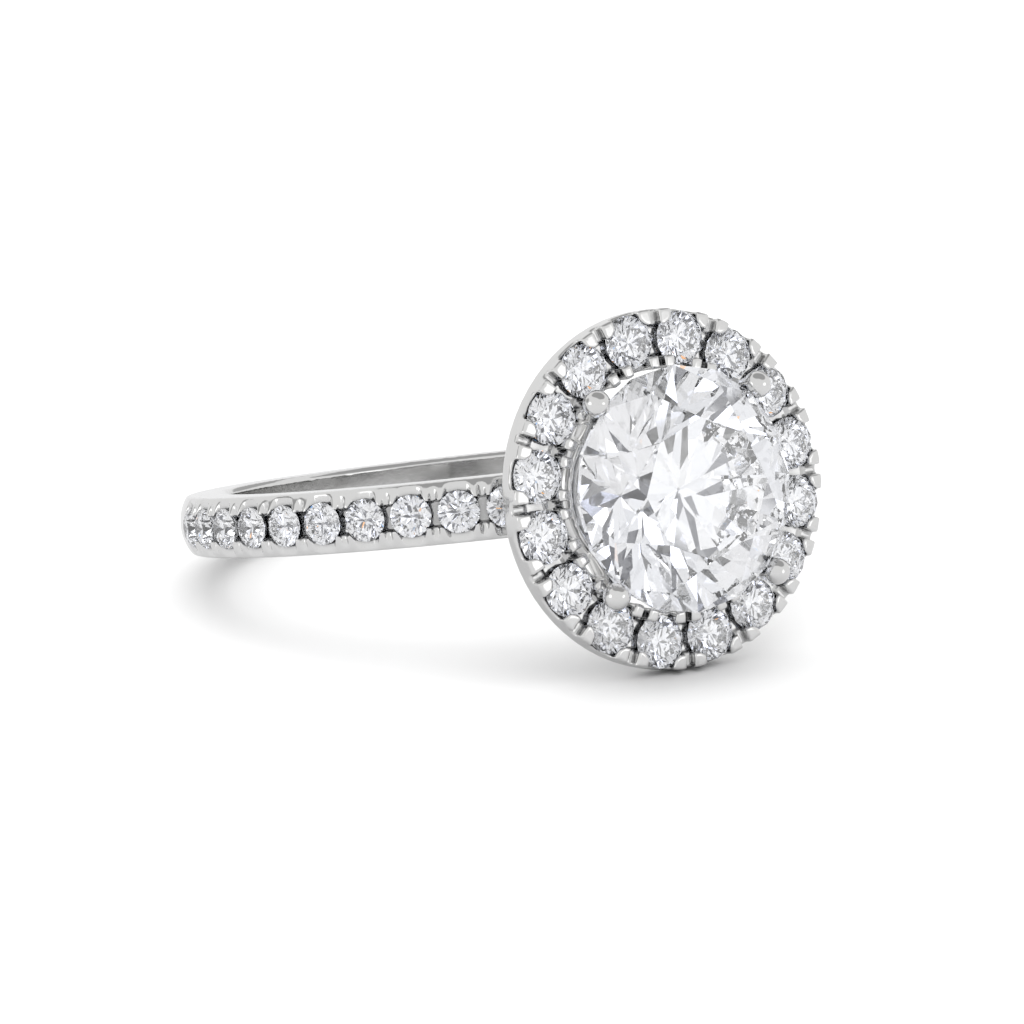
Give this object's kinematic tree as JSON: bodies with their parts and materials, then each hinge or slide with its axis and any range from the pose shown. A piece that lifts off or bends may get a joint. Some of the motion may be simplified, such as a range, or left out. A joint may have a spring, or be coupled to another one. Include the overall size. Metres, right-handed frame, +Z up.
{
  "type": "halo ring",
  "caption": "Finger ring in polished white gold with a large round brilliant in claws, a halo of small brilliants round it and small brilliants along both shoulders.",
  "frame": {"origin": "middle of the ring's box, on the surface that the ring lies on", "axes": "+Z up from the surface, -Y from the finger hole towards the head, +X across the finger hole"},
  "size_m": [0.0196, 0.0228, 0.0104],
  "materials": {
    "white_gold": "polished",
    "centre_diamond": "faceted",
    "small_diamond": "faceted"
  },
  "bodies": {
    "root": {"setting": "white_gold", "centre_stone": "centre_diamond", "halo_stone_1": "small_diamond", "halo_stone_2": "small_diamond", "halo_stone_3": "small_diamond", "halo_stone_4": "small_diamond", "halo_stone_5": "small_diamond", "halo_stone_6": "small_diamond", "halo_stone_7": "small_diamond", "halo_stone_8": "small_diamond", "halo_stone_9": "small_diamond", "halo_stone_10": "small_diamond", "halo_stone_11": "small_diamond", "halo_stone_12": "small_diamond", "halo_stone_13": "small_diamond", "halo_stone_14": "small_diamond", "halo_stone_15": "small_diamond", "halo_stone_16": "small_diamond", "shoulder_stone_1": "small_diamond", "shoulder_stone_2": "small_diamond", "shoulder_stone_3": "small_diamond", "shoulder_stone_4": "small_diamond", "shoulder_stone_5": "small_diamond", "shoulder_stone_6": "small_diamond", "shoulder_stone_7": "small_diamond", "shoulder_stone_8": "small_diamond", "shoulder_stone_9": "small_diamond", "shoulder_stone_10": "small_diamond", "shoulder_stone_11": "small_diamond", "shoulder_stone_12": "small_diamond", "shoulder_stone_13": "small_diamond", "shoulder_stone_14": "small_diamond", "shoulder_stone_15": "small_diamond", "shoulder_stone_16": "small_diamond", "shoulder_stone_17": "small_diamond", "shoulder_stone_18": "small_diamond", "shoulder_stone_19": "small_diamond", "shoulder_stone_20": "small_diamond"}
  },
  "joints": []
}
